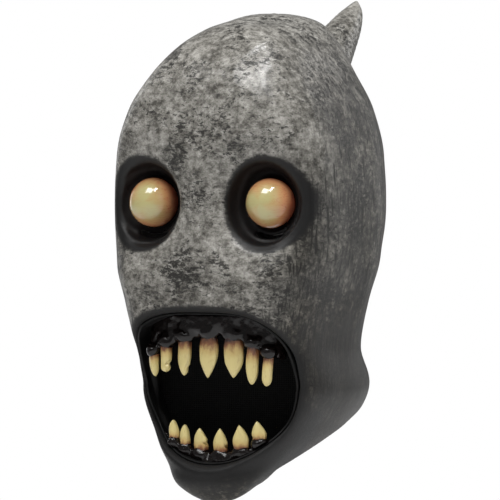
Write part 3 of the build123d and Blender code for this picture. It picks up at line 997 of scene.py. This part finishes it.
def front_at(x, z):
    """Depth of the outside of the face at a place seen from the front."""
    row = [monotone(LEVELS[:, 0], column, np.array([z]))[0] for column in LEVELS.T]
    _, half, middle, front, _, power = row
    share = min(0.999, abs(x) / half)
    return middle + (front - middle) * (1 - share**power) ** (1 / power)


LINING_AROUND = 300
LINING_DEEP = 44
LINING_GAP = 0.2                       # gap between the lining and the skin, mm
LINING_THICK = 1.7


def cheek_inset(turn, s):
    """How far the inner side of the lining lies inside the mouth outline, with its folds."""
    cheek = abs(math.cos(turn)) ** 3
    fold = math.sin(5.0 * turn + 2.0 * math.sin(3 * turn) + 9.0 * s)
    fold = 0.55 * fold + 0.45 * math.sin(11.0 * turn - 6.0 * s + 1.3)
    depth = (1.2 + 2.2 * cheek) * max(0.0, fold) * math.sin(math.pi * s)
    return LINING_GAP + LINING_THICK + depth


def build_lining(material):
    """Latex lining of the mouth with folds of inner cheek."""
    lo, hi = box_mm("mouth_lining")
    around = LINING_AROUND
    verts = []
    for inner in (False, True):
        for i in range(LINING_DEEP + 1):
            s = i / LINING_DEEP
            for j in range(around):
                turn = 2 * math.pi * j / around
                edge_x, edge_z = ring_point(turn, LINING_GAP)
                start = max(lo[1], front_at(edge_x, edge_z) + WALL + 2.0)
                start = min(start, hi[1] - 4.0)
                inset = cheek_inset(turn, s) if inner else LINING_GAP
                px, pz = ring_point(turn, inset)
                verts.append((px, start + (hi[1] - start) * s, pz))
    layer = (LINING_DEEP + 1) * around
    last = LINING_DEEP * around
    faces = tube(0, LINING_DEEP, around) + tube(layer, LINING_DEEP, around, turned=True)
    faces += band(0, layer, around, turned=True) + band(last, layer + last, around)
    place(mesh_object("cheek_lining", verts, faces), "mouth_lining", material)


SCREEN_RINGS = 40
SCREEN_AROUND = 160
SCREEN_HALF_THICK = 0.2
SCREEN_GAP = 0.6                       # gap between the net and the mouth outline, mm


def build_screen(material):
    """Fine net stretched across the back of the mouth."""
    lo, hi = box_mm("mouth_screen")
    around = SCREEN_AROUND
    verts = []
    for side in (-1, 1):
        for i in range(SCREEN_RINGS + 1):
            s = i / SCREEN_RINGS
            for j in range(around):
                turn = 2 * math.pi * j / around
                px, pz = ring_point(turn, SCREEN_GAP)
                sag = 0.45 * (1 - s * s) + 0.08 * math.sin(7 * turn) * s * (1 - s) * 4
                y = 0.5 * (lo[1] + hi[1]) + side * SCREEN_HALF_THICK + sag
                verts.append((px * s, y, MOUTH_Z + (pz - MOUTH_Z) * s))
    layer = (SCREEN_RINGS + 1) * around
    last = SCREEN_RINGS * around
    faces = tube(0, SCREEN_RINGS, around, turned=True) + tube(layer, SCREEN_RINGS, around)
    faces += band(last, layer + last, around, turned=True)
    obj = mesh_object("mouth_net", verts, faces)
    merge_close(obj)
    place(obj, "mouth_screen", material)


# ------------------------------------------------------------------ stage, lights, camera
WHITE = (1.0, 1.0, 1.0, 1)
FLOOR_HALF = 12000.0                   # half size of the floor in mm
FLOOR_GAP = 120.0                      # the mask hangs this far above the floor, mm
AMBIENT = 0.24                         # light of the surroundings on the mask

LOOK_AT = (0.0, 0.0, -0.17)            # what the lights are aimed at
VIEW_SIZE = 0.400                      # width of the picture at the mask, metres
VIEW_SHIFT = -0.016                    # middle of the picture: to the side, and height
VIEW_Z = -0.1718
SENSOR = 36.0
AZIMUTH = math.radians(28.0)           # the camera stands this far to the mask's left
DISTANCE = 4.5
CAMERA_RISE = 0.02                     # share of the distance


def white_to_camera(tree, dim, bright, output):
    """Shows one shader to the camera and lights the scene with the other."""
    both = tree.nodes.new("ShaderNodeMixShader")
    seen = tree.nodes.new("ShaderNodeLightPath").outputs["Is Camera Ray"]
    tree.links.new(seen, both.inputs["Fac"])
    tree.links.new(dim.outputs[0], both.inputs[1])
    tree.links.new(bright.outputs[0], both.inputs[2])
    tree.links.new(both.outputs[0], tree.nodes[output].inputs["Surface"])


def build_stage():
    """A pale floor and even surroundings, both white where the camera sees them."""
    size = FLOOR_HALF
    z = cad_bounds[0][2] / MM - FLOOR_GAP
    corners = [(-size, -size, z), (size, -size, z), (size, size, z), (-size, size, z)]
    floor = mesh_object("floor", corners, [(0, 1, 2, 3)], smooth=False)
    mat, shader = new_material("pale_floor")
    shader.inputs["Base Color"].default_value = (0.86, 0.86, 0.86, 1)
    shader.inputs["Roughness"].default_value = 0.9
    glow = mat.node_tree.nodes.new("ShaderNodeEmission")
    glow.inputs["Color"].default_value = WHITE
    white_to_camera(mat.node_tree, shader, glow, "Material Output")
    use(floor, mat)
    world = bpy.data.worlds.new("world")
    bpy.context.scene.world = world
    world.use_nodes = True
    dim = world.node_tree.nodes["Background"]
    dim.inputs["Color"].default_value = WHITE
    dim.inputs["Strength"].default_value = AMBIENT
    bright = world.node_tree.nodes.new("ShaderNodeBackground")
    bright.inputs["Color"].default_value = WHITE
    white_to_camera(world.node_tree, dim, bright, "World Output")
    bpy.context.scene.view_settings.view_transform = "Standard"


def aim(direction):
    return Vector(direction).to_track_quat("-Z", "Y").to_euler()


def area_light(name, spot, size, power, rotation=None):
    """A rectangular light that points at the mask unless a rotation is given."""
    data = bpy.data.lights.new(name, "AREA")
    data.shape = "RECTANGLE"
    data.size, data.size_y = size
    data.energy = power
    light = bpy.data.objects.new(name, data)
    light.location = spot
    light.rotation_euler = rotation or aim(np.array(LOOK_AT) - np.array(spot))
    bpy.context.scene.collection.objects.link(light)


def build_camera():
    """A long lens at eye height, from the mask's left."""
    data = bpy.data.cameras.new("camera")
    data.sensor_width = SENSOR
    data.lens = SENSOR * DISTANCE / VIEW_SIZE
    camera = bpy.data.objects.new("camera", data)
    right = np.array([math.cos(AZIMUTH), math.sin(AZIMUTH), 0])
    target = VIEW_SHIFT * right + np.array([0, 0, VIEW_Z])
    spot = target + DISTANCE * np.array([math.sin(AZIMUTH), -math.cos(AZIMUTH), CAMERA_RISE])
    camera.location = spot
    camera.rotation_euler = aim(target - spot)
    bpy.context.scene.collection.objects.link(camera)
    bpy.context.scene.camera = camera


build_camera()
build_stage()
# name, place and size in metres, power in watts
area_light("overhead", (-0.20, -1.20, 1.45), (0.9, 0.8), 23.0)
area_light("strip", (0.42, -0.25, 1.45), (0.16, 1.6), 31.0, rotation=(0.20, 0.12, 0.0))
area_light("side", (1.3, -0.9, 0.5), (0.5, 1.2), 1.0)
area_light("left_rim", (-1.5, 0.60, 0.1), (0.3, 1.5), 3.0)
area_light("right_rim", (0.6, 1.6, 0.3), (0.3, 1.3), 4.0)

build_skin(skin_material())

eye_paint = eye_material()
for node, eye in zip(EYE_NODES, EYES):
    build_eye(node + "ball", node, eye, eye_paint)

ivory = tooth_material()
upper_teeth = ["upper_tooth_%d" % number for number in range(1, 8)]
lower_teeth = ["lower_tooth_%d" % number for number in range(1, 7)]
for number, (name, style) in enumerate(zip(upper_teeth, UPPER_STYLE)):
    build_tooth(name, style, True, ivory, UPPER_TOOTH_SEED + number)
for number, (name, style) in enumerate(zip(lower_teeth, LOWER_STYLE)):
    build_tooth(name, style, False, ivory, LOWER_TOOTH_SEED + number)

wet = dark_material("wet_gum", (0.0045, 0.0028, 0.0026), 0.13, specular=0.35, scale=240.0, bump=0.35)
build_gum("upper_gum", upper_teeth, UPPER_GUM, wet, UPPER_GUM_SEED)
build_gum("lower_gum", lower_teeth, LOWER_GUM, wet, LOWER_GUM_SEED)

build_lining(dark_material("black_lining", (0.0030, 0.0029, 0.0029), 0.60, specular=0.2, scale=120.0))
build_screen(mesh_material())
collar = dark_material("raw_latex", (0.030, 0.028, 0.026), 0.6, scale=90.0)
for node in ("left_eye_patch", "right_eye_patch"):
    use(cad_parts[node], collar)
charcoal = foam_material("charcoal_foam", (0.060, 0.060, 0.064))
for node in ("crown_pad", "brow_pad", "nape_pad"):
    pad = soft_copy(node, node + "_foam", charcoal, PAD_UNEVEN)
cream = foam_material("cream_foam", (0.55, 0.48, 0.30))
core = soft_copy("horn_core", "horn_filling", cream, CORE_UNEVEN)
